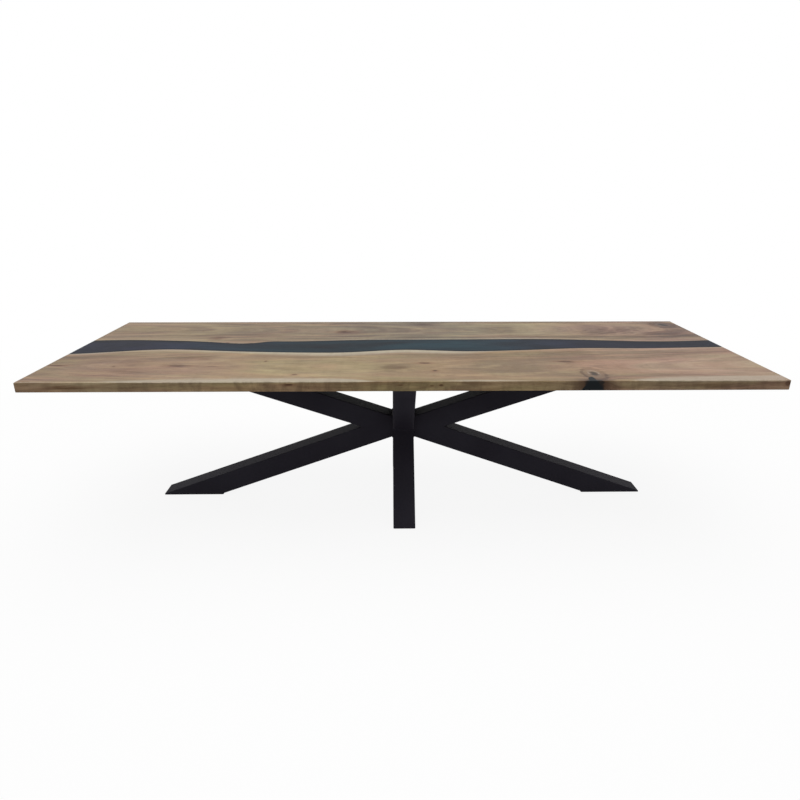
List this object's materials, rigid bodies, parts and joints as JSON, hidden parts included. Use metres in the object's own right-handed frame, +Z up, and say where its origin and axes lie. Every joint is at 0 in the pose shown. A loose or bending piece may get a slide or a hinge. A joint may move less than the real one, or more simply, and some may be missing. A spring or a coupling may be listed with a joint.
{
  "type": "dining table",
  "caption": "Long rectangular dining table: walnut boards with a dark resin river between them, on a crossed base of black square steel tube with levelling feet.",
  "frame": {"origin": "on the floor under the middle of the table", "axes": "+X along the table, +Y across it away from the long edge with the filled knot, +Z up"},
  "size_m": [3, 1.05, 0.76],
  "materials": {
    "walnut": "satin oiled",
    "resin": "satin, dark translucent grey",
    "powder_coat": "matte powder coat",
    "zinc_steel": "zinc plated",
    "nylon": "moulded"
  },
  "bodies": {
    "table": {"cross_tube": "powder_coat", "cross_front_upper_tube": "powder_coat", "cross_rear_lower_tube": "powder_coat", "left_upper_arm": "powder_coat", "left_lower_arm": "powder_coat", "right_upper_arm": "powder_coat", "right_lower_arm": "powder_coat", "left_mounting_plate": "powder_coat", "right_mounting_plate": "powder_coat", "front_mounting_plate": "powder_coat", "rear_mounting_plate": "powder_coat", "left_foot_plate": "powder_coat", "right_foot_plate": "powder_coat", "front_foot_plate": "powder_coat", "rear_foot_plate": "powder_coat", "left_foot_nut": "zinc_steel", "right_foot_nut": "zinc_steel", "front_foot_nut": "zinc_steel", "rear_foot_nut": "zinc_steel", "outer_left_channel": "powder_coat", "inner_left_channel": "powder_coat", "inner_right_channel": "powder_coat", "outer_right_channel": "powder_coat", "front_slab": "walnut", "rear_slab": "walnut", "resin_river": "resin", "knot_fill": "resin", "plate_bolts": "zinc_steel", "plate_washers": "zinc_steel", "threaded_inserts": "zinc_steel", "channel_screws": "zinc_steel"},
    "left_pad": {"left_glide_pad": "nylon"},
    "left_stud": {"left_glide_stud": "zinc_steel"},
    "right_pad": {"right_glide_pad": "nylon"},
    "right_stud": {"right_glide_stud": "zinc_steel"},
    "front_pad": {"front_glide_pad": "nylon"},
    "front_stud": {"front_glide_stud": "zinc_steel"},
    "rear_pad": {"rear_glide_pad": "nylon"},
    "rear_stud": {"rear_glide_stud": "zinc_steel"}
  },
  "joints": [
    {"name": "left_pad_slide", "type": "slide", "parent": "table", "child": "left_pad", "axis": [0, 0, -1], "range_m": [0, 0.012]},
    {"name": "left_stud_turn", "type": "hinge", "parent": "left_pad", "child": "left_stud", "pos_m": [-1.05275, 0, 0], "axis": [0, 0, -1], "range_deg": [0, 3600]},
    {"name": "right_pad_slide", "type": "slide", "parent": "table", "child": "right_pad", "axis": [0, 0, -1], "range_m": [0, 0.012]},
    {"name": "right_stud_turn", "type": "hinge", "parent": "right_pad", "child": "right_stud", "pos_m": [1.05275, 0, 0], "axis": [0, 0, -1], "range_deg": [0, 3600]},
    {"name": "front_pad_slide", "type": "slide", "parent": "table", "child": "front_pad", "axis": [0, 0, -1], "range_m": [0, 0.012]},
    {"name": "front_stud_turn", "type": "hinge", "parent": "front_pad", "child": "front_stud", "pos_m": [0, -0.30851, 0], "axis": [0, 0, -1], "range_deg": [0, 3600]},
    {"name": "rear_pad_slide", "type": "slide", "parent": "table", "child": "rear_pad", "axis": [0, 0, -1], "range_m": [0, 0.012]},
    {"name": "rear_stud_turn", "type": "hinge", "parent": "rear_pad", "child": "rear_stud", "pos_m": [0, 0.30851, 0], "axis": [0, 0, -1], "range_deg": [0, 3600]}
  ],
  "couplings": [
    {"joint": "left_stud_turn", "follows": "left_pad_slide", "rad_per_m": 4188.8},
    {"joint": "right_stud_turn", "follows": "right_pad_slide", "rad_per_m": 4188.8},
    {"joint": "front_stud_turn", "follows": "front_pad_slide", "rad_per_m": 4188.8},
    {"joint": "rear_stud_turn", "follows": "rear_pad_slide", "rad_per_m": 4188.8}
  ]
}
